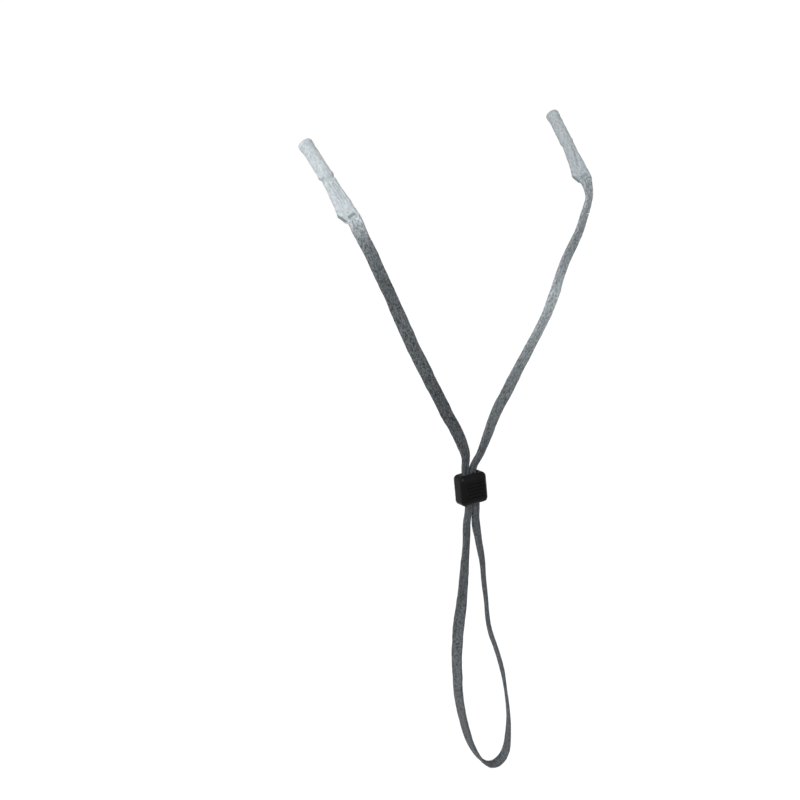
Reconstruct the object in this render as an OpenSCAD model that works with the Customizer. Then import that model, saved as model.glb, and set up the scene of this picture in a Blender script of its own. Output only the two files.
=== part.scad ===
// Eyeglass retainer strap: two knit temple sleeves, one flat knit strap hanging
// between them, and a moulded friction bead that closes the strap into a loop.
// Millimetres, +Z up. The origin is midway between the two strap roots.

/* [Strap] */
// Width of the flat knit strap
strap_w = 6.5; // [6:0.1:6.5]
// Thickness of the flat knit strap
strap_t = 2; // [1.6:0.1:2.2]
// Width of one strand where the bead squeezes it
gathered_w = 4.4; // [3.8:0.1:4.6]
// Thickness of one strand where the bead squeezes it
gathered_t = 2.8; // [2.2:0.1:3]
// Distance between the two strap roots, about one head width
neck_spacing = 144; // [130:1:150]

/* [Temple sleeves] */
// Length from the fold at the strap root to the mouth
sleeve_reach = 44; // [40:1:50]
// Outer diameter of the sleeve where a temple tip fills it
sleeve_d = 6.3; // [5.8:0.1:7]
// Width of the sleeve where it is empty and lies flat
flat_w = 8.6; // [8:0.1:10]
// Thickness of the sleeve where it is empty and lies flat
flat_t = 2.8; // [2.4:0.1:3.2]
// Diameter of the temple tip socket
socket_d = 4.6; // [4:0.1:5]
// Depth of the temple tip socket
socket_depth = 20; // [15:1:20]
// Angle of the sleeves below the horizontal
sleeve_drop = 42; // [30:1:50]
// Outward angle of each sleeve
sleeve_toe = 8; // [0:1:12]
// Roll of the left sleeve on its temple
left_roll = 45; // [-30:1:60]
// Roll of the right sleeve on its temple
right_roll = 40; // [-30:1:60]

/* [Bead] */
// Width of the bead
bead_w = 16.5; // [13:0.5:17]
// Depth of the bead from front to back
bead_d = 10; // [9:0.5:13]
// Height of the bead
bead_h = 17; // [12:0.5:18]
// Radius of the bead's edges
bead_r = 2.6; // [1:0.1:3]
// Width of the slot that both strands pass through
slot_w = 9.8; // [9.8:0.1:10.4]
// Depth of the slot from front to back
slot_t = 3.4; // [3.4:0.1:4]
// Turn of the hanging bead about the vertical
bead_turn = -7; // [-12:0]
// Backward lean of the hanging bead
bead_lean = 12; // [0:14]

/* [Hidden] */

$fn = 32;
KNIT_DARK = [0.33, 0.36, 0.37];
KNIT_LIGHT = [0.71, 0.75, 0.77];
THREAD_DARK = [0.30, 0.40, 0.44];
THREAD_LIGHT = [0.78, 0.82, 0.83];
RUBBER_BLACK = [0.08, 0.08, 0.09];

neck_x = neck_spacing / 2;
skin = 0.02;

// Stations along a sleeve, measured from the fold towards the mouth
end_z = 2;
shoulder_z = 8.2;
creased_z = 17;
filled_z = 23.5;
cuff_z = sleeve_reach - 3;
cuff_d = sleeve_d + 0.5;
shoulder_y = (flat_w - strap_w) / 2;

// The sewn-in end of the strap and the flat pocket that it lies in
pocket_w = 5.6;
pocket_t = 1.2;
strap_end_l = 7;
fold_gap_w = 4;

// The socket's soft lead-in at the mouth, and its taper beyond the temple tip
lip_l = 0.5;
lip_flare = 1;
taper_l = 1;

// Sewing threads
hem_thread_r = 0.22;
seam_thread_r = 0.32;
tack_w = 3.2;
tack_l = 1.2;
tack_proud = 0.25;

// The bead's plain recessed front panel and its grip ribs
panel_w = 11;
panel_h = 9;
panel_deep = 0.5;
rib_count = 4;
rib_h = 0.9;
bead_z = -157;
strand_x = 2.35;

// Strap cross-section: one eight-sided ring at each point of a route
SIDES = 8;

// Where a sleeve ends and the strap comes out of it
function root_point(side) = [
    side * (neck_x + end_z * cos(sleeve_drop) * sin(sleeve_toe)),
    end_z * cos(sleeve_drop) * cos(sleeve_toe),
    end_z * sin(sleeve_drop)
];

// A strand's place in the bead's slot: side is -1 or 1, dz is the height over its middle
function in_slot(side, dz) = [
    side * strand_x * cos(bead_turn) - dz * tan(bead_lean) * sin(bead_turn),
    side * strand_x * sin(bead_turn) + dz * tan(bead_lean) * cos(bead_turn),
    bead_z + dz
];

// Routes hang in one vertical plane. Each point is [x, y, z, turn], and turn is the
// angle of the strap's flat out of that plane.
spread = neck_spacing / 144;
LEFT_LEG = concat([concat(root_point(-1), [33])], [
    [-72 * spread, 0, 0, 28],
    [-69.2 * spread, 0, -6, 8],
    [-64.4 * spread, 0, -15, -5],
    [-57 * spread, 0, -30, -5],
    [-49.8 * spread, 0, -45, 2],
    [-42.8 * spread, 0, -60, 16],
    [-35.2 * spread, 0, -75, 22],
    [-26.2 * spread, 0, -92, 20],
    [-17.2 * spread, 0, -109, 10],
    [-10, 0, -122, 8],
    [-4.5, 0, -135, -4],
    concat(in_slot(-1, 10), [6]),
    concat(in_slot(-1, 0), [7])
]);
RIGHT_LEG = concat([concat(root_point(1), [62])], [
    [72 * spread, 0, 0, 14],
    [75 * spread, 0, -8, -18],
    [73 * spread, 0, -17, -12],
    [69.2 * spread, 0, -27, -8],
    [63 * spread, 0, -37, -2],
    [58 * spread, 0, -47, 0],
    [54.4 * spread, 0, -57, 8],
    [50.6 * spread, 0, -66, 4],
    [45 * spread, 0, -75, 0],
    [38.8 * spread, 0, -84, 4],
    [31.4 * spread, 0, -94, 8],
    [24.8 * spread, 0, -104, 20],
    [17 * spread, 0, -115, 10],
    [11.3, 0, -127, 2],
    [6, 0, -138, -6],
    concat(in_slot(1, 10), [6]),
    concat(in_slot(1, 0), [7])
]);
LOOP = [
    concat(in_slot(-1, 0), [7]),
    concat(in_slot(-1, -10), [4]),
    [-2, 0, -179, -14],
    [-1.9, 0, -191, -20],
    [-2.6, 0, -206, -10],
    [-3.3, 0, -222, 4],
    [-4.8, 0, -237, 28],
    [-6.1, 0, -252, 46],
    [-6.4, 0, -267, 66],
    [-5.4, 0, -283, 70],
    [-3.6, 0, -300, 75],
    [-0.6, 0, -314, 78],
    [3, 0, -328, 80],
    [7.8, 0, -342, 85],
    [13.2, 0, -353, 90],
    [18.6, 0, -361, 90],
    [24.5, 0, -366.5, 90],
    [30, 0, -368, 90],
    [34.8, 0, -366, 88],
    [37.6, 0, -360, 80],
    [38.4, 0, -351, 71],
    [38.2, 0, -338, 60],
    [36.6, 0, -325, 56],
    [34.3, 0, -312, 54],
    [31.2, 0, -297, 49],
    [27, 0, -283, 50],
    [22.5, 0, -270, 53],
    [18.6, 0, -259, 48],
    [16.2, 0, -248, 44],
    [14.5, 0, -235, 44],
    [12.2, 0, -221, 40],
    [10.4, 0, -207, 36],
    [7.2, 0, -193, 28],
    [4.4, 0, -179, 10],
    concat(in_slot(1, -10), [-5]),
    concat(in_slot(1, 0), [-7])
];

function unit(v) = v / norm(v);
function place(p) = [p[0], p[1], p[2]];
function smooth(t) = t * t * (3 - 2 * t);
function clamped(t) = min(max(t, 0), 1);

// How far a strand is gathered at height z: 1 inside the bead, 0 well away from it
function gather(z) = 1 - smooth(clamped((abs(z - bead_z) - 10) / 22));
function strand_width(z) = strap_w + (gathered_w - strap_w) * gather(z);
function strand_thickness(z) = strap_t + (gathered_t - strap_t) * gather(z);

function heading(path, i) = unit(
    place(path[min(i + 1, len(path) - 1)]) - place(path[max(i - 1, 0)])
);

// One ring of the swept strap: the flat lies along n turned by the route's angle
function ring(path, i) = let (
    t = heading(path, i),
    n = unit([t.z, 0, -t.x]),
    b = cross(t, n),
    turn = path[i][3],
    flat_dir = cos(turn) * n + sin(turn) * b,
    thick_dir = cos(turn) * b - sin(turn) * n,
    half_w = strand_width(path[i][2]) / 2 / cos(180 / SIDES),
    half_t = strand_thickness(path[i][2]) / 2 / cos(180 / SIDES)
) [
    for (k = [0 : SIDES - 1]) let (a = 360 * (k + 0.5) / SIDES)
        place(path[i]) + half_w * cos(a) * flat_dir + half_t * sin(a) * thick_dir
];

module swept_strap(path) {
    count = len(path);
    corners = [for (i = [0 : count - 1]) each ring(path, i)];
    sides = [
        for (i = [0 : count - 2]) for (k = [0 : SIDES - 1])
            let (a = i * SIDES + k, b = i * SIDES + (k + 1) % SIDES)
                each [[a, a + SIDES, b + SIDES], [a, b + SIDES, b]]
    ];
    first_cap = [for (k = [0 : SIDES - 1]) k];
    last_cap = [for (k = [SIDES - 1 : -1 : 0]) (count - 1) * SIDES + k];
    polyhedron(points = corners, faces = concat(sides, [first_cap, last_cap]));
}

// Puts sleeve parts on one temple: +Z of the sleeve points out of its mouth and
// +Y points at its lower, sewn-off shoulder.
module on_temple(side, roll) {
    translate([side * neck_x, 0, 0])
        rotate([0, 0, -side * sleeve_toe])
            rotate([sleeve_drop - 90, 0, 0])
                rotate([0, 0, roll])
                    children();
}

// A thin slice of sleeve with round edges
module slice(z, y, w, t) {
    for (s = [-1, 1])
        translate([0, y + s * (w - t) / 2, z])
            cylinder(d = t, h = skin);
}

module sleeve_shell() {
    translate([0, 0, cuff_z])
        cylinder(d = cuff_d, h = sleeve_reach - cuff_z);
    hull() {
        slice(cuff_z, 0, sleeve_d, sleeve_d);
        slice(filled_z, 0.1, sleeve_d + 0.2, sleeve_d - 0.2);
    }
    hull() {
        slice(filled_z, 0.1, sleeve_d + 0.2, sleeve_d - 0.2);
        slice(creased_z, 0.7, flat_w - 1, flat_t + 0.7);
    }
    hull() {
        slice(creased_z, 0.7, flat_w - 1, flat_t + 0.7);
        slice(shoulder_z, shoulder_y, flat_w, flat_t);
    }
    hull() {
        slice(shoulder_z, shoulder_y, flat_w, flat_t);
        slice(end_z, 0, strap_w + 0.1, flat_t - 0.3);
    }
}

module temple_socket() {
    floor_z = sleeve_reach - socket_depth;
    translate([0, 0, floor_z])
        cylinder(d = socket_d, h = socket_depth + 1);
    translate([0, 0, floor_z - taper_l])
        cylinder(d1 = socket_d - 2 * taper_l, d2 = socket_d, h = taper_l);
    translate([0, 0, sleeve_reach - lip_l])
        cylinder(d1 = socket_d, d2 = socket_d + 2 * lip_flare, h = 2 * lip_l);
}

// Holds the strap's end, and beyond it the narrow gap between the sleeve's layers
module flat_pocket() {
    translate([-pocket_t / 2, -pocket_w / 2, end_z - 1])
        cube([pocket_t, pocket_w, strap_end_l + 1.3]);
    translate([-pocket_t / 2, -fold_gap_w / 2, end_z])
        cube([pocket_t, fold_gap_w, sleeve_reach - socket_depth - end_z]);
}

module hem_ring() {
    translate([0, 0, cuff_z + 0.6])
        rotate_extrude()
            translate([cuff_d / 2, 0])
                circle(r = hem_thread_r);
}

module tack_block() {
    tack_t = flat_t + 2 * tack_proud;
    translate([-tack_t / 2, -tack_w / 2, end_z + 1])
        cube([tack_t, tack_w, tack_l]);
}

// Overlocked thread along the slanting closed edge of the sleeve
module seam_rod() {
    low = [0, strap_w / 2 + 0.05, end_z];
    high = [0, shoulder_y + flat_w / 2, shoulder_z];
    run = high - low;
    translate(low)
        rotate([-atan2(run.y, run.z), 0, 0])
            cylinder(r = seam_thread_r, h = norm(run));
}

module temple_sleeve(side, roll) {
    color(KNIT_LIGHT)
        on_temple(side, roll)
            difference() {
                sleeve_shell();
                temple_socket();
                flat_pocket();
                hem_ring();
                tack_block();
                seam_rod();
            }
}

module strap_end(side, roll) {
    color(KNIT_DARK)
        on_temple(side, roll)
            difference() {
                translate([-pocket_t / 2, -pocket_w / 2, end_z])
                    cube([pocket_t, pocket_w, strap_end_l]);
                tack_block();
            }
}

module hem_stitch(side, roll) {
    color(THREAD_LIGHT)
        on_temple(side, roll)
            hem_ring();
}

module bar_tack(side, roll) {
    color(THREAD_DARK)
        on_temple(side, roll)
            tack_block();
}

module end_seam(side, roll) {
    color(THREAD_DARK)
        on_temple(side, roll)
            seam_rod();
}

module sleeve_left() { temple_sleeve(-1, left_roll); }
module sleeve_right() { temple_sleeve(1, right_roll); }
module strap_end_left() { strap_end(-1, left_roll); }
module strap_end_right() { strap_end(1, right_roll); }
module hem_stitch_left() { hem_stitch(-1, left_roll); }
module hem_stitch_right() { hem_stitch(1, right_roll); }
module bar_tack_left() { bar_tack(-1, left_roll); }
module bar_tack_right() { bar_tack(1, right_roll); }
module end_seam_left() { end_seam(-1, left_roll); }
module end_seam_right() { end_seam(1, right_roll); }
module strap_left_leg() { color(KNIT_DARK) swept_strap(LEFT_LEG); }
module strap_right_leg() { color(KNIT_DARK) swept_strap(RIGHT_LEG); }
module strap_loop() { color(KNIT_DARK) swept_strap(LOOP); }

// Rectangle with round corners, centred on the origin
module soft_rectangle(w, h, r) {
    square([w - 2 * r, h], center = true);
    square([w, h - 2 * r], center = true);
    for (x = [-1, 1], y = [-1, 1])
        translate([x * (w / 2 - r), y * (h / 2 - r)])
            circle(r = r);
}

module soft_prism(w, h, length, r) {
    translate([0, 0, -length / 2])
        linear_extrude(length)
            soft_rectangle(w, h, r);
}

// A block with every edge rounded
module soft_block() {
    intersection() {
        soft_prism(bead_w, bead_d, bead_h, bead_r);
        rotate([90, 0, 0])
            soft_prism(bead_w, bead_h, bead_d, bead_r);
        rotate([90, 0, 90])
            soft_prism(bead_d, bead_h, bead_w, bead_r);
    }
}

// The plain panel on the bead's front, with level grip ribs left standing in it
module front_panel() {
    pitch = panel_h / (rib_count + 1);
    translate([0, -bead_d / 2 + panel_deep / 2, 0])
        difference() {
            cube([panel_w, panel_deep + skin, panel_h], center = true);
            for (k = [1 : rib_count])
                translate([0, 0, k * pitch - panel_h / 2])
                    cube([panel_w - 1.8, panel_deep + 1, rib_h], center = true);
        }
}

module slider_bead() {
    color(RUBBER_BLACK)
        translate([0, 0, bead_z])
            rotate([-bead_lean, 0, bead_turn])
                difference() {
                    soft_block();
                    soft_prism(slot_w, slot_t, bead_h + 2, 1.2);
                    front_panel();
                }
}

sleeve_left();
sleeve_right();
strap_end_left();
strap_end_right();
hem_stitch_left();
hem_stitch_right();
bar_tack_left();
bar_tack_right();
end_seam_left();
end_seam_right();
strap_left_leg();
strap_right_leg();
strap_loop();
slider_bead();
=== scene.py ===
"""The looks of the eyeglass retainer strap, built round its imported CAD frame.

Everything is in metres, in the frame's own axes: +X from the left sleeve to the
right sleeve, +Y towards the glasses, +Z up, and the strap hanging down -Z.
"""
import math

import bpy
import numpy as np
from mathutils import Matrix, Vector


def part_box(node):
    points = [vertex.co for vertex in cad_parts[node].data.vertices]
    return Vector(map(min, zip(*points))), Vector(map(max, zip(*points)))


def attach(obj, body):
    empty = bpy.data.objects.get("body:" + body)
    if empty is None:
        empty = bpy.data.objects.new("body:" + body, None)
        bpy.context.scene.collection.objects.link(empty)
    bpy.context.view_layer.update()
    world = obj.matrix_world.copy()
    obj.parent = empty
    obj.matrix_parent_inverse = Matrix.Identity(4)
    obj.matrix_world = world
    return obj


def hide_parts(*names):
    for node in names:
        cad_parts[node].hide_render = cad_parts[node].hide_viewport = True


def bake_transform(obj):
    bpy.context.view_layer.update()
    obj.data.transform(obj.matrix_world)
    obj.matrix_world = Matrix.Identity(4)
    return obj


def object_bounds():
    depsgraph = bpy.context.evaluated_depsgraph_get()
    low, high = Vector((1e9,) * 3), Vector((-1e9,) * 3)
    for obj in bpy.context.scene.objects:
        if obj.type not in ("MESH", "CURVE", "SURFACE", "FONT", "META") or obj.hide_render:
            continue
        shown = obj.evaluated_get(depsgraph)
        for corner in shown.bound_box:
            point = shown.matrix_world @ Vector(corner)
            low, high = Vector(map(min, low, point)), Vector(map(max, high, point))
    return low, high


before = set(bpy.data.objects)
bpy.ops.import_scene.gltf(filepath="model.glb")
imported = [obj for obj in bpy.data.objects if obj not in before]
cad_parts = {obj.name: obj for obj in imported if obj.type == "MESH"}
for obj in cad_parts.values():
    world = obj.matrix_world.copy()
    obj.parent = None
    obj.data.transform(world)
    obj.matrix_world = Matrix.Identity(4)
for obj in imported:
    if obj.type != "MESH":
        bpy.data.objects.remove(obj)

MM = 0.001
SIDE_WORD = {-1: "left", 1: "right"}
cad_low, cad_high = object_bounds()


def put_in_scene(name, data):
    obj = bpy.data.objects.new(name, data)
    bpy.context.scene.collection.objects.link(obj)
    return obj


# ---------------------------------------------------------------- camera

CAMERA_AT = (-0.3127, -0.3593, 0.1065)
# Degrees to the right of +Y, and degrees below level
CAMERA_YAW = 36.43
CAMERA_DOWN = 24.01
CAMERA_LENS = 45
CAMERA_SENSOR = 36


def make_camera():
    data = bpy.data.cameras.new("camera")
    data.lens = CAMERA_LENS
    data.sensor_width = CAMERA_SENSOR
    data.clip_start = 0.01
    data.clip_end = 200
    camera = put_in_scene("camera", data)
    camera.location = CAMERA_AT
    camera.rotation_euler = (
        math.radians(90 - CAMERA_DOWN), 0, math.radians(-CAMERA_YAW)
    )
    bpy.context.scene.camera = camera


make_camera()

# ---------------------------------------------------------------- shapes


def smooth(t):
    return t * t * (3 - 2 * t)


def ramp(x, start, end):
    """0 before start, 1 after end, and a soft rise between them."""
    return smooth(np.clip((np.asarray(x, float) - start) / (end - start), 0, 1))


def bump_at(x, centre, width):
    """A bell of height 1 round centre."""
    return np.exp(-(((np.asarray(x, float) - centre) / width) ** 2))


def unit(v):
    return v / np.linalg.norm(v, axis=-1, keepdims=True)


def wander(x, seed, scale, octaves=3):
    """A smooth, repeatable wobble between about -1 and 1 along x."""
    rng = np.random.default_rng(seed)
    total = np.zeros_like(np.asarray(x, float))
    for k in range(octaves):
        pitch = scale / 1.9**k
        shift, weight = rng.uniform(0, 2 * math.pi), 0.6**k
        total += weight * np.sin(2 * math.pi * np.asarray(x) / pitch + shift)
    return total / 1.6


def through(points, step):
    """Samples a smooth line through points (rows of x, y, z and more) every step."""
    p = np.array(points, float)
    p = np.vstack([2 * p[0] - p[1], p, 2 * p[-1] - p[-2]])
    gap = np.sqrt(np.linalg.norm(np.diff(p[:, :3], axis=0), axis=1))
    t = np.concatenate([[0], np.cumsum(gap)])
    rows = []
    for i in range(1, len(p) - 2):
        a, b, c, d = p[i - 1 : i + 3]
        ta, tb, tc, td = t[i - 1 : i + 3]
        x = np.linspace(tb, tc, 24, endpoint=False)[:, None]
        ab = ((tb - x) * a + (x - ta) * b) / (tb - ta)
        bc = ((tc - x) * b + (x - tb) * c) / (tc - tb)
        cd = ((td - x) * c + (x - tc) * d) / (td - tc)
        abc = ((tc - x) * ab + (x - ta) * bc) / (tc - ta)
        bcd = ((td - x) * bc + (x - tb) * cd) / (td - tb)
        rows.append(((tc - x) * abc + (x - tb) * bcd) / (tc - tb))
    rows = np.vstack([*rows, p[-2]])
    along = np.concatenate(
        [[0], np.cumsum(np.linalg.norm(np.diff(rows[:, :3], axis=0), axis=1))]
    )
    count = max(2, round(along[-1] / step) + 1)
    at = np.linspace(0, along[-1], count)
    return np.stack([np.interp(at, along, column) for column in rows.T], 1), at


def stadium(w, t, s):
    """Points, outward normals and perimeter of a w by t stadium, s from 0 to 1 round it."""
    w, t = np.broadcast_arrays(w, t)
    straight, r = w - t, t / 2
    quarter = math.pi * r / 2
    perimeter = 2 * straight + 4 * quarter
    d = s * perimeter
    turns = [
        d / r,
        math.pi / 2,
        math.pi / 2 + (d - quarter - straight) / r,
        3 * math.pi / 2,
        3 * math.pi / 2 + (d - 3 * quarter - 2 * straight) / r,
    ]
    centres = [
        straight / 2,
        straight / 2 - (d - quarter),
        -straight / 2,
        -straight / 2 + (d - 3 * quarter - straight),
        straight / 2,
    ]
    ends = [
        d < quarter,
        d < quarter + straight,
        d < 3 * quarter + straight,
        d < 3 * quarter + 2 * straight,
    ]
    turn = np.select(ends, [np.broadcast_to(x, d.shape) for x in turns[:4]], turns[4])
    centre = np.select(ends, [np.broadcast_to(x, d.shape) for x in centres[:4]], centres[4])
    nx, ny = np.cos(turn), np.sin(turn)
    return centre + r * nx, r * ny, nx, ny, perimeter


def paint(mesh, tones):
    """Stores up to three values from 0 to 1 for each point: pale, shade and edge. Pale is the
    yarn's paleness with some painted light in it, shade is painted shade, and edge marks rubbed
    edges.
    """
    layer = mesh.color_attributes.new("tone", "FLOAT_COLOR", "POINT")
    colours = np.ones((len(mesh.vertices), 4), np.float32)
    colours[:, :3] = 0
    for k, tone in enumerate(tones):
        colours[:, k] = np.clip(np.ravel(tone), 0, 1)
    layer.data.foreach_set("color", colours.ravel())


def new_object(name, verts, faces):
    mesh = bpy.data.meshes.new(name)
    mesh.from_pydata(np.asarray(verts).reshape(-1, 3).tolist(), [], faces)
    mesh.validate()
    mesh.shade_smooth()
    return put_in_scene(name, mesh)


def tube(name, rings, u, v, caps=(True, True), tones=()):
    """A closed skin over rings (count, around, 3). u and v are texture millimetres."""
    count, around = rings.shape[:2]
    quads, us, vs = [], [], []
    for i in range(count - 1):
        for k in range(around):
            n = (k + 1) % around
            quads.append(
                (i * around + k, i * around + n, (i + 1) * around + n, (i + 1) * around + k)
            )
            us += [u[i], u[i], u[i + 1], u[i + 1]]
            vs += [v[k], v[k + 1], v[k + 1], v[k]]
    if caps[0]:
        quads.append(tuple(reversed(range(around))))
        us += [u[0]] * around
        vs += list(v[:around][::-1])
    if caps[1]:
        quads.append(tuple((count - 1) * around + k for k in range(around)))
        us += [u[-1]] * around
        vs += list(v[:around])
    obj = new_object(name, rings, quads)
    layer = obj.data.uv_layers.new(name="knit")
    layer.data.foreach_set("uv", np.stack([us, vs], 1).astype(np.float32).ravel())
    if tones:
        paint(obj.data, tones)
    return obj


# ---------------------------------------------------------------- the strap

STRAP_W = 6.5 * MM
STRAP_T = 2.0 * MM
GATHERED_W = 4.4 * MM
GATHERED_T = 2.8 * MM
RING_STEP = 0.8 * MM
WALES = 19
POINTS_PER_WALE = 4
WALE_RISE = 0.035 * MM
# How much thinner the strap is between its two folded edges
FLAT_HOLLOW = 0.20 * MM
PLEAT_DEPTH = 0.55 * MM
# How much narrower and thinner the end tucked into a sleeve is
TUCK_NARROWER = 1.1 * MM
TUCK_THINNER = 0.85 * MM
# Where the loop's knit starts in texture millimetres, clear of the legs'
LOOP_FIRST_U = 180
LOOP_BEND_Z = -0.345

SLEEVE_DROP = math.radians(42)
SLEEVE_TOE = math.radians(8)
NECK_X = 0.072
SLEEVE_END = 0.002
SLEEVE_TIP = 0.0008
TUCKED = 0.007

bead_low, bead_high = (Vector(corner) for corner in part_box("slider_bead"))
BEAD_Z = (bead_low.z + bead_high.z) / 2
BEAD_TURN = math.radians(-7)
BEAD_LEAN = math.radians(12)

# The strap's route, as in part.scad: x, y, z in metres, and the turn of its flat.
LEFT_FOLD = [
    (-0.072, 0, 0, 28), (-0.0692, 0, -0.006, 8), (-0.0644, 0, -0.015, -5)
]
LEFT_LEG = [
    (-0.0644, 0, -0.015, -5), (-0.057, 0, -0.030, -5), (-0.0498, 0, -0.045, 2),
    (-0.0428, 0, -0.060, 16), (-0.0352, 0, -0.075, 22), (-0.0262, 0, -0.092, 20),
    (-0.0172, 0, -0.109, 10), (-0.010, 0, -0.122, 8), (-0.0045, 0, -0.135, -4),
    (-0.0021, 0.0024, -0.147, 6), (-0.0023, 0.0003, -0.157, 7),
]
RIGHT_FOLD = [
    (0.072, 0, 0, 14), (0.075, 0, -0.008, -18), (0.073, 0, -0.017, -12)
]
RIGHT_LEG = [
    (0.073, 0, -0.017, -12), (0.0692, 0, -0.027, -8), (0.063, 0, -0.037, -2),
    (0.058, 0, -0.047, 0), (0.0544, 0, -0.057, 8), (0.0506, 0, -0.066, 4),
    (0.045, 0, -0.075, 0), (0.0388, 0, -0.084, 4), (0.0314, 0, -0.094, 8),
    (0.0248, 0, -0.104, 20), (0.017, 0, -0.115, 10), (0.0113, 0, -0.127, 2),
    (0.006, 0, -0.138, -6), (0.0026, 0.0018, -0.147, 6), (0.0023, -0.0003, -0.157, 7),
]
LOOP = [
    (-0.0023, 0.0003, -0.157, 7), (-0.0026, -0.0018, -0.167, 4),
    (-0.002, 0, -0.179, -14), (-0.0019, 0, -0.191, -20), (-0.0026, 0, -0.206, -10),
    (-0.0033, 0, -0.222, 4), (-0.0048, 0, -0.237, 28), (-0.0061, 0, -0.252, 46),
    (-0.0064, 0, -0.267, 66), (-0.0054, 0, -0.283, 70), (-0.0036, 0, -0.300, 75),
    (-0.0006, 0, -0.314, 78), (0.003, 0, -0.328, 80), (0.0078, 0, -0.342, 85),
    (0.0132, 0, -0.353, 90), (0.0186, 0, -0.361, 90), (0.0245, 0, -0.3665, 90),
    (0.030, 0, -0.368, 90), (0.0348, 0, -0.366, 88), (0.0376, 0, -0.360, 80),
    (0.0384, 0, -0.351, 71), (0.0382, 0, -0.338, 60), (0.0366, 0, -0.325, 56),
    (0.0343, 0, -0.312, 54), (0.0312, 0, -0.297, 49), (0.027, 0, -0.283, 50),
    (0.0225, 0, -0.270, 53), (0.0186, 0, -0.259, 48), (0.0162, 0, -0.248, 44),
    (0.0145, 0, -0.235, 44), (0.0122, 0, -0.221, 40), (0.0104, 0, -0.207, 36),
    (0.0072, 0, -0.193, 28), (0.0044, 0, -0.179, 10),
    (0.0021, -0.0024, -0.167, -5), (0.0023, -0.0003, -0.157, -7),
]
ROOT_TURN = {-1: 33, 1: 62}


def sleeve_axis(side):
    """The direction out of a sleeve's mouth."""
    return np.array([
        side * math.cos(SLEEVE_DROP) * math.sin(SLEEVE_TOE),
        math.cos(SLEEVE_DROP) * math.cos(SLEEVE_TOE),
        math.sin(SLEEVE_DROP),
    ])


def on_sleeve(side, distance):
    """The point on a sleeve's line at a distance from the fold at its root."""
    return np.array([side * NECK_X, 0, 0]) + distance * sleeve_axis(side)


def gather(z):
    """1 where the bead squeezes a strand, 0 well away from it."""
    return 1 - ramp(abs(z - BEAD_Z), 10 * MM, 32 * MM)


def strap_skin(name, points, first_u, pale, seed, tucked=0.0):
    """The flat knit tube along points. Returns the object, its line and its length."""
    line, along = through(points, RING_STEP)
    place, turn = line[:, :3], np.radians(line[:, 3])
    heading = unit(np.gradient(place, axis=0))
    level = unit(np.stack([heading[:, 2], 0 * turn, -heading[:, 0]], 1))
    rise = np.cross(heading, level)
    flat_dir = np.cos(turn)[:, None] * level + np.sin(turn)[:, None] * rise
    thick_dir = np.cos(turn)[:, None] * rise - np.sin(turn)[:, None] * level

    squeeze = gather(place[:, 2])
    inside = 1 - ramp(along, tucked - 0.3 * MM, tucked + 1.2 * MM) if tucked else 0 * along
    u = first_u + along / MM
    w = STRAP_W + (GATHERED_W - STRAP_W) * squeeze - TUCK_NARROWER * inside
    w = w + 0.16 * MM * wander(u, seed, 31) * (1 - squeeze) * (1 - inside)
    t = STRAP_T + (GATHERED_T - STRAP_T) * squeeze - TUCK_THINNER * inside

    around = WALES * POINTS_PER_WALE
    s = np.arange(around) / around
    x, y, nx, ny, _ = stadium(w[:, None], t[:, None], s[None, :])
    across = 2 * x / w[:, None]
    on_flat = np.abs(ny) > 0.99

    # Thinner in the middle than along its two folded edges
    lift = -FLAT_HOLLOW * (1 - across**2) * on_flat * (1 - squeeze[:, None])
    # Lengthwise pleats where the bead gathers it
    lift -= PLEAT_DEPTH * bump_at(across, 0.05, 0.22) * on_flat * squeeze[:, None]
    # Wales: the fine ribs of the knit along the strap
    lift += WALE_RISE * np.cos(2 * math.pi * WALES * s)[None, :]
    # Slow waviness of the two faces
    face = np.where(ny > 0, 1, 2)
    for side_of_strap in (1, 2):
        wave = wander(u, seed + side_of_strap, 17)[:, None]
        lift += 0.09 * MM * wave * (face == side_of_strap) * on_flat * (1 - across**2)
    x, y = x + lift * nx, y + lift * ny
    sway = 0.12 * MM * wander(u, seed + 5, 23)[:, None] * (1 - squeeze[:, None])
    x = x + sway * (1 - inside)[:, None]

    rings = (
        place[:, None]
        + x[..., None] * flat_dir[:, None]
        + y[..., None] * thick_dir[:, None]
    )
    v = np.arange(around + 1) / around * WALES
    # Painted shade: darker in the pleat where the bead gathers the strap, and along its two
    # folded edges.
    shade = 0.7 * squeeze[:, None] * bump_at(across, 0.05, 0.25) + 0.35 * across**6
    pale_tone = np.broadcast_to(pale(u)[:, None], x.shape)
    obj = tube(name, rings, u, v, tones=(pale_tone, shade))
    return obj, place, along[-1], u[-1]


# How pale the yarn is, from 0 to 1, at u millimetres along the strap from its tucked end
def pale_left(u):
    return 0.84 - 0.59 * ramp(u, 7, 24) - 0.15 * ramp(u, 20, 45) - 0.10 * ramp(u, 60, 130)


# On the right leg the bump round 74 mm is a painted highlight, and the leg's paler level than
# the left leg's is partly painted light.
def pale_and_painted_light_right(u):
    near_and_highlight = 0.55 - 0.20 * ramp(u, 15, 45) + 0.26 * bump_at(u, 74, 18)
    return near_and_highlight - 0.22 * ramp(u, 95, 135) - 0.10 * ramp(u, 140, 172)


def pale_loop(u):
    """The same for the loop, whose u starts at LOOP_FIRST_U."""
    low_bend = 0.05 * bump_at(u, 398, 22)
    return 0.03 + 0.03 * bump_at(u, 300, 30) + low_bend + 0.05 * bump_at(u, 490, 45)


def linear_blend(obj, start, end):
    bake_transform(obj)
    start, span = np.array(start), np.array(end) - np.array(start)


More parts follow.
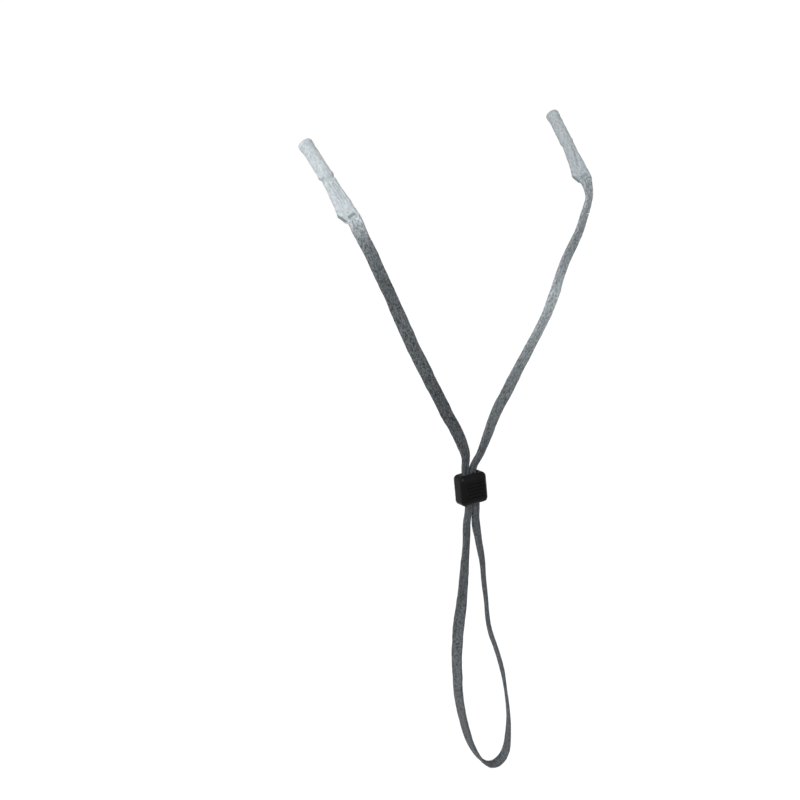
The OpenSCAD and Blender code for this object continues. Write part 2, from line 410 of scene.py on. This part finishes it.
def half_strap(side, fold_points, leg_points, pale, seed):
    """One side of the strap: its sewn-in end and fold, and its leg down to the bead."""
    word = SIDE_WORD[side]
    tucked_points = [
        (*on_sleeve(side, SLEEVE_END + d), ROOT_TURN[side]) for d in (TUCKED, TUCKED / 2, 0)
    ]
    fold, _, _, u = strap_skin(
        f"strap_fold_{word}", tucked_points + fold_points, 0, pale, seed, TUCKED
    )
    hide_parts(f"strap_end_{word}")
    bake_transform(fold)

    leg, line, leg_length, _ = strap_skin(
        f"strap_leg_{word}", leg_points, u, pale, seed
    )
    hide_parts(f"strap_{word}_leg")
    linear_blend(
        leg, start=leg_points[0][:3],
        end=(leg_points[0][0], leg_points[0][1], bead_high.z),
    )
    return fold, leg


def loop_strap():
    """The closed loop below the bead."""
    loop, line, length, _ = strap_skin(
        "strap_loop_knit", LOOP, LOOP_FIRST_U, pale_loop, 40
    )
    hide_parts("strap_loop")
    linear_blend(
        loop, start=(0, 0, bead_low.z), end=(0, 0, LOOP_BEND_Z)
    )
    return loop


strap_pieces = [
    *half_strap(-1, LEFT_FOLD, LEFT_LEG, pale_left, 11),
    *half_strap(1, RIGHT_FOLD, RIGHT_LEG, pale_and_painted_light_right, 23),
    loop_strap(),
]

# ---------------------------------------------------------------- the sleeves

SLEEVE_REACH = 44 * MM
SLEEVE_ROLL = {-1: math.radians(45), 1: math.radians(40)}
CUFF = 3 * MM
SOCKET_R = 2.3 * MM
POCKET_W = 5.6 * MM
POCKET_T = 1.25 * MM
SLEEVE_STEP = 0.35 * MM
SLEEVE_WALES = 26
SLEEVE_WALE_RISE = 0.045 * MM
HEM_Z = SLEEVE_REACH - CUFF
HEM_STITCH_Z = HEM_Z + 0.6 * MM

# Along a sleeve, in millimetres: distance from the fold, middle, width, thickness
SLEEVE_FORM = [
    (0.8, 0.0, 6.6, 2.2), (1.5, 0.1, 6.8, 2.5), (3.4, 0.5, 7.5, 2.75),
    (5.4, 0.95, 8.3, 2.85), (6.6, 1.05, 8.5, 2.85), (8.2, 0.95, 8.3, 2.9),
    (11.5, 0.7, 7.6, 3.05), (15.5, 0.4, 6.9, 3.5), (19.5, 0.2, 6.3, 4.6),
    (22.5, 0.05, 6.1, 5.5), (25.5, 0.0, 6.5, 6.3), (33.0, 0.0, 6.3, 6.2),
    (44.0, 0.0, 6.3, 6.3),
]

# Lengthwise pleats of each sleeve: place across, drift per 8 mm, depth and width
PLEATS = {
    -1: ((-0.62, 0.08, 0.46, 0.09), (-0.32, 0.10, 0.50, 0.08), (0.02, 0.16, 0.42, 0.09)),
    1: ((-0.35, -0.37, 0.60, 0.13), (0.38, 0.10, 0.18, 0.15)),
}

# Folds round the end of the temple tip, in millimetres: distance, rise and width
TIP_FOLDS = [(25.4, 0.30, 0.9), (23.3, -0.34, 0.7), (27.4, -0.16, 0.6)]
TIP_GROOVE = 23.3 * MM
TIP_STRENGTH = {-1: 1.0, 1: 0.45}


def sleeve_place(side):
    """Takes sleeve points (x thick, y across, z along) into the frame."""
    toe = Matrix.Rotation(-side * SLEEVE_TOE, 4, "Z")
    drop = Matrix.Rotation(SLEEVE_DROP - math.pi / 2, 4, "X")
    roll = Matrix.Rotation(SLEEVE_ROLL[side], 4, "Z")
    return Matrix.Translation((side * NECK_X, 0, 0)) @ toe @ drop @ roll


def moved(points, matrix):
    m = np.array(matrix)
    return points @ m[:3, :3].T + m[:3, 3]


def form_at(z):
    """The sleeve's middle, width and thickness at heights z."""
    table = np.array(SLEEVE_FORM)
    return [np.interp(z / MM, table[:, 0], column) * MM for column in table.T[1:]]


def sleeve_outside(side, z, s):
    """The sleeve's outer face at heights z and shares s round it."""
    middle, w, t = form_at(z)
    w = np.maximum(w, t + 0.02 * MM)
    # y runs across the flat width, x through the thickness
    y, x, ny, nx, _ = stadium(w[:, None], t[:, None], s[None, :])
    height = z[:, None]
    filled = ramp(height, 21 * MM, 25 * MM)
    across = 2 * y / w[:, None]
    on_flat = (np.abs(nx) > 0.75) * (1 - filled)

    wales = np.cos(2 * math.pi * SLEEVE_WALES * s)[None, :]
    lift = SLEEVE_WALE_RISE * wales * np.ones_like(height)
    # The folded hem at the mouth, and the line of stitching that holds it
    lift += 0.28 * MM * ramp(height, HEM_Z - 0.5 * MM, HEM_Z + 0.4 * MM)
    lift -= 0.22 * MM * bump_at(height, HEM_STITCH_Z, 0.35 * MM)
    lift -= 0.25 * MM * ramp(height, SLEEVE_REACH - 0.9 * MM, SLEEVE_REACH)
    # The crease where the temple tip ends
    crease = TIP_STRENGTH[side]
    lean = 0.8 * MM * np.sin(2 * math.pi * s + 0.8)[None, :]
    for at, rise, width in TIP_FOLDS:
        lift += rise * MM * crease * bump_at(height, at * MM + lean, width * MM)
    # Lengthwise creases in the empty, flat stretch
    run = ramp(height, 7 * MM, 11 * MM) * (1 - ramp(height, 19 * MM, 24 * MM))
    shade = np.zeros_like(across)
    for offset, drift, depth, width in PLEATS[side]:
        centre = offset + drift * (height - 14 * MM) / (8 * MM)
        crease_here = bump_at(across, centre, width) * on_flat * run
        lift -= depth * MM * crease_here
        # Painted shade in each crease
        shade += 1.3 * depth * crease_here
    # Slow waviness of the whole sleeve
    ripple = wander(z / MM, 60 + side, 9)[:, None] * np.cos(2 * math.pi * s)[None, :]
    lift += 0.07 * MM * ripple + 0.06 * MM * np.sin(
        2 * math.pi * (3 * s[None, :] + z[:, None] / (13 * MM))
    )
    # Painted shade in the hem's stitch groove and in the groove round the end of the temple
    # tip, and darker towards the closed end.
    shade += 0.7 * bump_at(height, HEM_STITCH_Z, 0.4 * MM)
    shade += 0.6 * crease * bump_at(height, TIP_GROOVE + lean, 0.9 * MM)
    shade += 0.35 * (1 - ramp(height, 3 * MM, 9 * MM))
    x, y = x + lift * nx, y + lift * ny
    points = np.stack([x, y + middle[:, None], np.broadcast_to(height, x.shape)], 2)
    return points, shade


def sleeve_inside(z, s):
    """The socket's round wall, and the flat pocket beyond the temple tip."""
    filled = ramp(z, 19 * MM, 25 * MM)
    w = POCKET_W + (2 * SOCKET_R - POCKET_W) * filled
    t = POCKET_T + (2 * SOCKET_R - 0.01 * MM - POCKET_T) * filled
    w = np.maximum(w, t + 0.01 * MM)
    y, x, _, _, _ = stadium(w[:, None], t[:, None], s[None, :])
    return np.stack([x, y, np.broadcast_to(z[:, None], x.shape)], 2)


def temple_sleeve(side):
    """One sleeve as a closed skin: outside, rolled mouth, socket and pocket."""
    word = SIDE_WORD[side]
    around = SLEEVE_WALES * 4
    s = np.arange(around) / around
    z_out = np.arange(SLEEVE_TIP, SLEEVE_REACH, SLEEVE_STEP)
    outside, shade = sleeve_outside(side, z_out, s)
    z_in = np.arange(SLEEVE_REACH - 0.4 * MM, SLEEVE_END + TUCKED + 0.4 * MM, -3 * SLEEVE_STEP)
    inside = sleeve_inside(z_in, s)
    # The closed end turns in on to the strap, and the mouth rolls over into the socket
    start = outside[:1].copy()
    start[..., 0] *= 0.72
    start[..., 1] *= 0.92
    start[..., 2] -= 0.25 * MM
    roll = []
    for share in (0.25, 0.5, 0.75):
        lip = (1 - share) * outside[-1] + share * inside[0]
        lip[:, 2] = SLEEVE_REACH + 0.28 * MM * math.sin(math.pi * share) - 0.2 * MM * share
        roll.append(lip)
    rings = np.concatenate([start, outside, np.array(roll), inside])
    # Painted shade: the socket and pocket inside are darkened.
    tone_shade = np.concatenate([
        shade[:1], shade, np.repeat(shade[-1:], len(roll), 0), np.full(inside.shape[:2], 0.9)
    ])
    centre_line = rings.mean(1)
    u = np.concatenate([[0], np.cumsum(np.linalg.norm(np.diff(centre_line, axis=0), axis=1))])
    v = np.arange(around + 1) / around * SLEEVE_WALES
    # The right sleeve's lower paleness is painted shade.
    pale = np.full(rings.shape[:2], 1.0 if side < 0 else 0.68)
    rings = moved(rings, sleeve_place(side))
    obj = tube(f"knit_sleeve_{word}", rings, u / MM, v, tones=(pale, tone_shade))
    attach(obj, "sleeves")
    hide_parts(f"sleeve_{word}")
    return obj


def thread(paths, radius, sides=8):
    """Closed round threads along several paths, as one list of points and faces."""
    verts, faces = [], []
    for path in paths:
        path = np.asarray(path, float)
        heading = unit(np.gradient(path, axis=0))
        guide = np.array([0.31, 0.17, 0.93])
        a = unit(np.cross(heading, guide))
        b = np.cross(heading, a)
        share = np.linspace(0, 1, len(path))
        taper = radius * np.sqrt(np.clip(1 - (2 * share - 1) ** 8, 0.05, 1))
        base = len(verts)
        for p, da, db, r in zip(path, a, b, taper):
            for k in range(sides):
                angle = 2 * math.pi * k / sides
                verts.append(p + r * (math.cos(angle) * da + math.sin(angle) * db))
        for i in range(len(path) - 1):
            for k in range(sides):
                n = (k + 1) % sides
                row = base + i * sides
                faces.append((row + k, row + n, row + sides + n, row + sides + k))
        faces.append(tuple(base + k for k in reversed(range(sides))))
        faces.append(tuple(base + (len(path) - 1) * sides + k for k in range(sides)))
    return verts, faces


def stitches(name, paths, radius, side, node_name):
    """Threads given on the sleeve, made in the frame in place of a CAD node."""
    verts, faces = thread(paths, radius)
    obj = new_object(name, moved(np.array(verts), sleeve_place(side)), faces)
    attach(obj, "sleeves")
    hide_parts(node_name)
    return obj


def surface_point(side, z, share, proud):
    """A point just over the sleeve's outer face."""
    here, _ = sleeve_outside(side, np.array([z]), np.array([share]))
    middle, _, _ = form_at(np.array([z]))
    point = here[0, 0]
    out = unit(point - np.array([0, middle[0], z]))
    return point + proud * out


def hem_stitches(side):
    """Short running stitches in the groove under the hem."""
    word = SIDE_WORD[side]
    count, paths = 14, []
    for k in range(count):
        shares = (k + np.linspace(0.12, 0.88, 9)) / count
        sink = np.abs(np.linspace(-1, 1, 9)) ** 3
        paths.append([
            surface_point(side, HEM_STITCH_Z, share, 0.12 * MM - 0.22 * MM * d)
            for share, d in zip(shares, sink)
        ])
    return stitches(
        f"hem_stitching_{word}", paths, 0.2 * MM, side, f"hem_stitch_{word}"
    )


def bar_tack_stitches(side):
    """A dense zigzag across the strap root, on both faces."""
    word = SIDE_WORD[side]
    low, high, width, passes = 1.7 * MM, 3.0 * MM, 3.2 * MM, 10
    paths = []
    for face in (-1, 1):
        for k in range(passes):
            y = width * (k / (passes - 1) - 0.5)
            skew = 0.5 * width / passes
            line = []
            for share in np.linspace(0, 1, 7):
                z = low + (high - low) * share
                _, _, t = form_at(np.array([z]))
                rise = 0.16 * MM - 0.3 * MM * abs(2 * share - 1) ** 4
                line.append([face * (t[0] / 2 + rise), y + skew * (2 * share - 1), z])
            paths.append(line)
    return stitches(
        f"bar_tack_thread_{word}", paths, 0.19 * MM, side, f"bar_tack_{word}"
    )


def overlock_stitches(side):
    """Thread wound over the slanting closed edge of the sleeve."""
    word = SIDE_WORD[side]
    low = np.array([0, 3.35 * MM, 1.1 * MM])
    high = np.array([0, 5.2 * MM, 6.3 * MM])
    run = high - low
    outward = unit(np.array([0, run[2], -run[1]]))
    turns, per_turn = 9, 14
    share = np.linspace(0, 1, turns * per_turn)
    angle = 2 * math.pi * turns * share
    line = (
        low + share[:, None] * run
        + 0.50 * MM * np.cos(angle)[:, None] * outward
        + 1.30 * MM * np.sin(angle)[:, None] * np.array([1.0, 0, 0])
    )
    return stitches(
        f"overlock_thread_{word}", [line], 0.17 * MM, side, f"end_seam_{word}"
    )


sleeves = [temple_sleeve(side) for side in (-1, 1)]
light_threads = [hem_stitches(side) for side in (-1, 1)]
dark_threads = [
    make(side) for make in (bar_tack_stitches, overlock_stitches) for side in (-1, 1)
]

# ---------------------------------------------------------------- the bead

BEAD_W, BEAD_D, BEAD_H = 16.5 * MM, 10 * MM, 17 * MM
BEAD_EDGE = 2.6 * MM
# Radius of the slot's rounded rim at the top and bottom
SLOT_RIM = 0.8 * MM
BEAD_AROUND = 220
SLOT_W, SLOT_T, SLOT_EDGE = 9.8 * MM, 3.4 * MM, 1.2 * MM
PANEL_W, PANEL_H, PANEL_DEEP = 11 * MM, 9 * MM, 0.45 * MM
RIBS, RIB_H = 4, 0.9 * MM


def rounded_outline(w, h, r, share):
    """Points and normals of a w by h rectangle with corners of radius r."""
    sides = [h - 2 * r, w - 2 * r, h - 2 * r, w - 2 * r]
    arc = math.pi * r / 2
    total = sum(sides) + 4 * arc
    points, normals = np.zeros((len(share), 2)), np.zeros((len(share), 2))
    corners = [(w / 2 - r, h / 2 - r), (-w / 2 + r, h / 2 - r),
               (-w / 2 + r, -h / 2 + r), (w / 2 - r, -h / 2 + r)]
    for i, at in enumerate(share):
        d = (at * total + sides[0] / 2) % total
        for k in range(4):
            start_angle = k * math.pi / 2
            out = np.array([math.cos(start_angle), math.sin(start_angle)])
            onward = np.array([-out[1], out[0]])
            corner = np.array(corners[k])
            if d < sides[k]:
                points[i] = corner + r * out - (sides[k] - d) * onward
                normals[i] = out
                break
            d -= sides[k]
            if d < arc:
                angle = start_angle + d / r
                normals[i] = (math.cos(angle), math.sin(angle))
                points[i] = corner + r * normals[i]
                break
            d -= arc
    return points, normals


def bead_profile():
    """The bead's section from its slot out over its top, down its side and back.

    Rows of (outer, inset, z): outer is 0 on the slot's outline and 1 on the bead's,
    and inset is how far the outline is drawn in.
    """
    rows = []
    half = BEAD_H / 2
    for z in np.linspace(0, half - SLOT_RIM, 10, endpoint=False):
        rows.append((0.0, 0.0, z))
    for a in np.linspace(0, math.pi / 2, 6):
        rows.append(
            (0.0, -SLOT_RIM * (1 - math.cos(a)), half - SLOT_RIM + SLOT_RIM * math.sin(a))
        )
    for share in (0.25, 0.5, 0.75):
        rows.append((share, 0.0, half))
    for a in np.linspace(math.pi / 2, 0, 10):
        rows.append(
            (1.0, BEAD_EDGE * (1 - math.cos(a)), half - BEAD_EDGE + BEAD_EDGE * math.sin(a))
        )
    wall = np.linspace(half - BEAD_EDGE, 0, 42)[1:]
    rows += [(1.0, 0.0, z) for z in wall]
    below = [(outer, inset, -z) for outer, inset, z in reversed(rows[1:-1])]
    return rows + below


def slider_bead():
    """The bead as one closed ring of rings, through its slot and over its outside."""
    around = BEAD_AROUND
    share = np.arange(around) / around
    outer, outer_n = rounded_outline(BEAD_W, BEAD_D, BEAD_EDGE, share)
    inner, inner_n = rounded_outline(SLOT_W, SLOT_T, SLOT_EDGE, share)
    rings, edges = [], []
    for out, inset, z in bead_profile():
        if out == 0:
            ring = inner - inset * inner_n
        elif out == 1:
            ring = outer - inset * outer_n
        else:
            from_rim, to_edge = inner + SLOT_RIM * inner_n, outer - BEAD_EDGE * outer_n
            ring = (1 - out) * from_rim + out * to_edge
        rings.append(np.column_stack([ring, np.full(around, z)]))
        edges.append(np.full(around, float(out == 1 and 0 < inset < 0.9 * BEAD_EDGE)))
    rings, edges = np.array(rings), np.array(edges)

    # The plain sunk panel on the front, with level grip ribs standing in it
    x, y, z = rings[..., 0], rings[..., 1], rings[..., 2]
    soft = 0.28 * MM
    in_panel = (
        (1 - ramp(abs(x), PANEL_W / 2 - soft, PANEL_W / 2))
        * (1 - ramp(abs(z), PANEL_H / 2 - soft, PANEL_H / 2))
    )
    pitch = PANEL_H / (RIBS + 1)
    ribs = np.zeros_like(x)
    for k in range(1, RIBS + 1):
        off = abs(z - (k * pitch - PANEL_H / 2))
        ribs = np.maximum(ribs, 1 - ramp(off, RIB_H / 2 - 0.1 * MM, RIB_H / 2 + 0.15 * MM))
    ribs *= 1 - ramp(abs(x), PANEL_W / 2 - 1.1 * MM, PANEL_W / 2 - 0.8 * MM)
    on_front = y < -BEAD_D / 2 + 0.02 * MM
    y += on_front * in_panel * (1 - ribs) * PANEL_DEEP
    # A fine mould line round the middle of the sides
    on_side = np.abs(x) > BEAD_W / 2 - 0.02 * MM
    x += np.sign(x) * on_side * 0.05 * MM * bump_at(y, 0, 0.12 * MM)

    pose = Matrix.Rotation(BEAD_TURN, 4, "Z") @ Matrix.Rotation(-BEAD_LEAN, 4, "X")
    rings = moved(rings, Matrix.Translation((0, 0, BEAD_Z)) @ pose)
    count = len(rings)
    faces = []
    for i in range(count):
        for k in range(around):
            n, j = (k + 1) % around, (i + 1) % count
            faces.append((i * around + k, j * around + k, j * around + n, i * around + n))
    obj = new_object("friction_bead", rings, faces)
    paint(obj.data, (0 * edges, 0 * edges, edges))
    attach(obj, "slider")
    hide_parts("slider_bead")
    return obj


bead = slider_bead()

# ---------------------------------------------------------------- materials


class Shader:
    """Builds one node material: each call adds a node and wires its inputs in order."""

    def __init__(self, name):
        self.material = bpy.data.materials.new(name)
        self.material.use_nodes = True
        self.tree = self.material.node_tree
        self.surface = self.tree.nodes["Principled BSDF"]

    def add(self, kind, *inputs, **settings):
        node = self.tree.nodes.new(kind)
        for key, value in settings.items():
            setattr(node, key, value)
        for k, value in enumerate(inputs):
            self.feed(node.inputs[k], value)
        return node

    def feed(self, socket, value):
        if isinstance(value, bpy.types.NodeSocket):
            self.tree.links.new(value, socket)
        elif value is not None:
            socket.default_value = value

    def math(self, operation, a, b=None, clamp=False):
        node = self.add("ShaderNodeMath", a, b, operation=operation)
        node.use_clamp = clamp
        return node.outputs[0]

    def mix(self, share, a, b, blend="MIX"):
        node = self.add("ShaderNodeMix", data_type="RGBA", blend_type=blend)
        self.feed(node.inputs[0], share)
        self.feed(node.inputs[6], a)
        self.feed(node.inputs[7], b)
        return node.outputs[2]

    def noise(self, where, scale, detail=2.0, rough=0.5):
        node = self.add("ShaderNodeTexNoise")
        self.feed(node.inputs["Vector"], where)
        node.inputs["Scale"].default_value = scale
        node.inputs["Detail"].default_value = detail
        node.inputs["Roughness"].default_value = rough
        return node.outputs["Fac"]

    def tone(self):
        node = self.add("ShaderNodeVertexColor", layer_name="tone")
        return self.add("ShaderNodeSeparateColor", node.outputs[0]).outputs

    def finish(self, inputs):
        """Sets or wires the surface's inputs by name. Returns the material."""
        for name, value in inputs.items():
            self.feed(self.surface.inputs[name], value)
        return self.material

    def bump(self, height, distance, strength, under=None):
        node = self.add("ShaderNodeBump")
        self.feed(node.inputs["Strength"], strength)
        self.feed(node.inputs["Distance"], distance)
        self.feed(node.inputs["Height"], height)
        if under is not None:
            self.feed(node.inputs["Normal"], under)
        return node.outputs[0]


def srgb(r, g, b):
    """A colour given as it looks on screen, from 0 to 255."""
    def linear(c):
        c /= 255
        return c / 12.92 if c <= 0.04045 else ((c + 0.055) / 1.055) ** 2.4
    return (linear(r), linear(g), linear(b), 1)


def knit(name, dark, light, pale_dark, pale_light, rows_per_mm, contrast):
    """Jersey knit: V-shaped stitches in lengthwise wales, in flecked heather yarn, with painted
    shade between the stitches.
    """
    sh = Shader(name)
    where = sh.add("ShaderNodeTexCoord").outputs["UV"]
    axes = sh.add("ShaderNodeSeparateXYZ", where).outputs
    along, wale = axes[0], axes[1]
    # leg: 0 in the middle of a wale, 0.5 between two wales
    leg = sh.math("ABSOLUTE", sh.math("SUBTRACT", sh.math("FRACT", wale), 0.5))
    row = sh.math("ADD", sh.math("MULTIPLY", along, rows_per_mm), sh.math("MULTIPLY", leg, 1.6))
    leg_height = sh.math("SINE", sh.math("MULTIPLY", leg, 2 * math.pi))
    row_height = sh.math("SINE", sh.math("MULTIPLY", sh.math("FRACT", row), math.pi))
    row_height = sh.math("POWER", row_height, 0.55)
    stitch = sh.math("MULTIPLY", leg_height, row_height)

    half_wale = sh.math("FLOOR", sh.math("MULTIPLY", wale, 2))
    cell = sh.add(
        "ShaderNodeCombineXYZ", sh.math("FLOOR", row), half_wale, 0.0
    ).outputs[0]
    fleck = sh.add("ShaderNodeTexWhiteNoise", cell, noise_dimensions="3D").outputs["Value"]
    stretch = sh.add(
        "ShaderNodeVectorMath", where, (1.0, 0.8, 1.0), operation="MULTIPLY"
    ).outputs[0]
    cloud = sh.noise(stretch, 0.7, 3.0, 0.65)
    fibre = sh.noise(stretch, 4.2, 2.0, 0.7)
    mixed = sh.math("ADD", sh.math("MULTIPLY", fleck, 0.45), sh.math("MULTIPLY", fibre, 0.55))
    mixed = sh.math("ADD", sh.math("MULTIPLY", mixed, 0.75), sh.math("MULTIPLY", cloud, 0.55))
    mixed = sh.math("SUBTRACT", mixed, 0.15)
    mixed = sh.math("MULTIPLY", sh.math("SUBTRACT", mixed, 0.5), contrast)
    mixed = sh.math("ADD", mixed, 0.5, True)

    pale, shade, _ = sh.tone()[:3]
    low = sh.mix(pale, dark, pale_dark)
    high = sh.mix(pale, light, pale_light)
    colour = sh.mix(mixed, low, high)
    # Painted shade: darker in the grooves between stitches and where the tone's shade channel
    # says, mixed towards black.
    groove = sh.math("MULTIPLY", sh.math("SUBTRACT", 1.0, stitch), 0.42)
    groove = sh.math("ADD", groove, sh.math("MULTIPLY", shade, 0.45), True)
    black = (0.02, 0.024, 0.03, 1)
    colour = sh.mix(groove, colour, sh.mix(0.5, colour, black))
    yarn = sh.bump(sh.noise(stretch, 9.0, 2.0, 0.6), 0.04 * MM, 0.5)
    return sh.finish({
        "Base Color": colour,
        "Roughness": sh.math("ADD", 0.82, sh.math("MULTIPLY", fibre, 0.14)),
        "Specular IOR Level": 0.12,
        "Sheen Weight": 0.06,
        "Sheen Roughness": 0.6,
        "Normal": sh.bump(stitch, 0.14 * MM, 0.8, yarn),
    })


def sewing_thread(name, dark, light):
    """Two-ply thread: slanting strands, slightly glossy."""
    sh = Shader(name)
    where = sh.add("ShaderNodeTexCoord").outputs["Object"]
    wave = sh.add("ShaderNodeTexWave", where, bands_direction="DIAGONAL")
    wave.inputs["Scale"].default_value = 900
    wave.inputs["Distortion"].default_value = 1.5
    fluff = sh.noise(where, 4000, 2.0)
    share = sh.math("MULTIPLY", wave.outputs["Fac"], sh.math("ADD", fluff, 0.4), True)
    return sh.finish({
        "Base Color": sh.mix(share, dark, light),
        "Roughness": sh.math("SUBTRACT", 0.65, sh.math("MULTIPLY", fluff, 0.2)),
        "Sheen Weight": 0.15,
        "Normal": sh.bump(wave.outputs["Fac"], 0.05 * MM, 0.5),
    })


def moulded_rubber(name):
    """Satin black elastomer with a fine spark-eroded mould texture and rubbed edges."""
    sh = Shader(name)
    where = sh.add("ShaderNodeTexCoord").outputs["Object"]
    grain = sh.noise(where, 2600, 3.0, 0.6)
    cloud = sh.noise(where, 260, 3.0, 0.55)
    edge = sh.tone()[2]
    worn = sh.math("MULTIPLY", edge, sh.math("MULTIPLY", cloud, 0.8), True)
    base = sh.mix(cloud, srgb(9, 9, 10), srgb(15, 15, 16))
    rough = sh.math("ADD", 0.26, sh.math("MULTIPLY", grain, 0.14))
    return sh.finish({
        "Base Color": sh.mix(worn, base, srgb(30, 31, 32)),
        "Roughness": sh.math("SUBTRACT", rough, sh.math("MULTIPLY", edge, 0.08)),
        "Specular IOR Level": 0.06,
        "Normal": sh.bump(grain, 0.03 * MM, 0.6),
    })


def dress(objects, material):
    for obj in objects:
        obj.data.materials.clear()
        obj.data.materials.append(material)


# Each yarn's darker and lighter flecks
HEATHER = srgb(15, 18, 21), srgb(92, 97, 101)
PALE_STRAP = srgb(132, 144, 150), srgb(224, 231, 234)
PALE_SLEEVE = srgb(146, 156, 161), srgb(212, 218, 221)
PALE_THREAD = srgb(150, 160, 168), srgb(205, 212, 216)
DARK_THREAD = srgb(92, 108, 113), srgb(136, 152, 157)
dress(strap_pieces, knit("heather_strap_knit", *HEATHER, *PALE_STRAP, 1.25, 2.8))
dress(sleeves, knit("pale_sleeve_knit", *HEATHER, *PALE_SLEEVE, 1.4, 1.6))
dress(light_threads, sewing_thread("pale_thread", *PALE_THREAD))
dress(dark_threads, sewing_thread("dark_thread", *DARK_THREAD))
dress([bead], moulded_rubber("black_bead_rubber"))

# ---------------------------------------------------------------- stage and light

FLOOR_DROP = 0.6
FLOOR_HALF = 30
FLOOR_WHITE = 0.95
# The walls are at full strength up to WALL_TOP, and the ceiling is dimmer from CEILING_FROM on
WALL_TOP, CEILING_FROM, CEILING_STRENGTH = 0.12, 0.45, 0.3
SUN_ALONG, SUN_STRENGTH, SUN_SPREAD = (0.75, 0.35, -1.0), 2.95, 40
KEY_AT, KEY_SIZE, KEY_POWER = (-1.1, -0.6, 0.5), 0.25, 3


def make_stage():
    z = cad_low.z - FLOOR_DROP
    h = FLOOR_HALF
    corners = [(-h, -h, z), (h, -h, z), (h, h, z), (-h, h, z)]
    floor = new_object("floor", corners, [(0, 1, 2, 3)])
    paper = Shader("floor_paper").finish({
        "Base Color": (FLOOR_WHITE, FLOOR_WHITE, FLOOR_WHITE, 1),
        "Roughness": 0.9,
        "Specular IOR Level": 0.1,
    })
    dress([floor], paper)


def shining(direction):
    """The turn of a lamp that shines along direction."""
    return Vector(direction).to_track_quat("-Z", "Y").to_euler()


def softbox(name, at, aim, size, power):
    data = bpy.data.lights.new(name, "AREA")
    data.shape = "SQUARE"
    data.size = size
    data.energy = power
    lamp = put_in_scene(name, data)
    lamp.location = at
    lamp.rotation_euler = shining(Vector(aim) - Vector(at))


def window(direction, strength, spread):
    """Broad, distant daylight shining along direction."""
    data = bpy.data.lights.new("window", "SUN")
    data.energy = strength
    data.angle = math.radians(spread)
    put_in_scene("window", data).rotation_euler = shining(direction)


def make_world():
    """White walls round the floor's edge, and a dimmer ceiling above them."""
    world = bpy.data.worlds.new("white_room")
    world.use_nodes = True
    tree = world.node_tree
    direction = tree.nodes.new("ShaderNodeTexCoord").outputs["Generated"]
    split = tree.nodes.new("ShaderNodeSeparateXYZ")
    fade = tree.nodes.new("ShaderNodeMapRange")
    fade.interpolation_type = "SMOOTHSTEP"
    fade.inputs["From Min"].default_value = WALL_TOP
    fade.inputs["From Max"].default_value = CEILING_FROM
    fade.inputs["To Min"].default_value = 1.0
    fade.inputs["To Max"].default_value = CEILING_STRENGTH
    tree.links.new(direction, split.inputs[0])
    tree.links.new(split.outputs["Z"], fade.inputs["Value"])
    tree.links.new(fade.outputs["Result"], tree.nodes["Background"].inputs["Strength"])
    tree.nodes["Background"].inputs["Color"].default_value = (1, 1, 1, 1)
    bpy.context.scene.world = world


make_stage()
make_world()
window(SUN_ALONG, SUN_STRENGTH, SUN_SPREAD)
softbox("key", KEY_AT, (cad_low + cad_high) / 2, KEY_SIZE, KEY_POWER)
bpy.context.scene.view_settings.view_transform = "Standard"
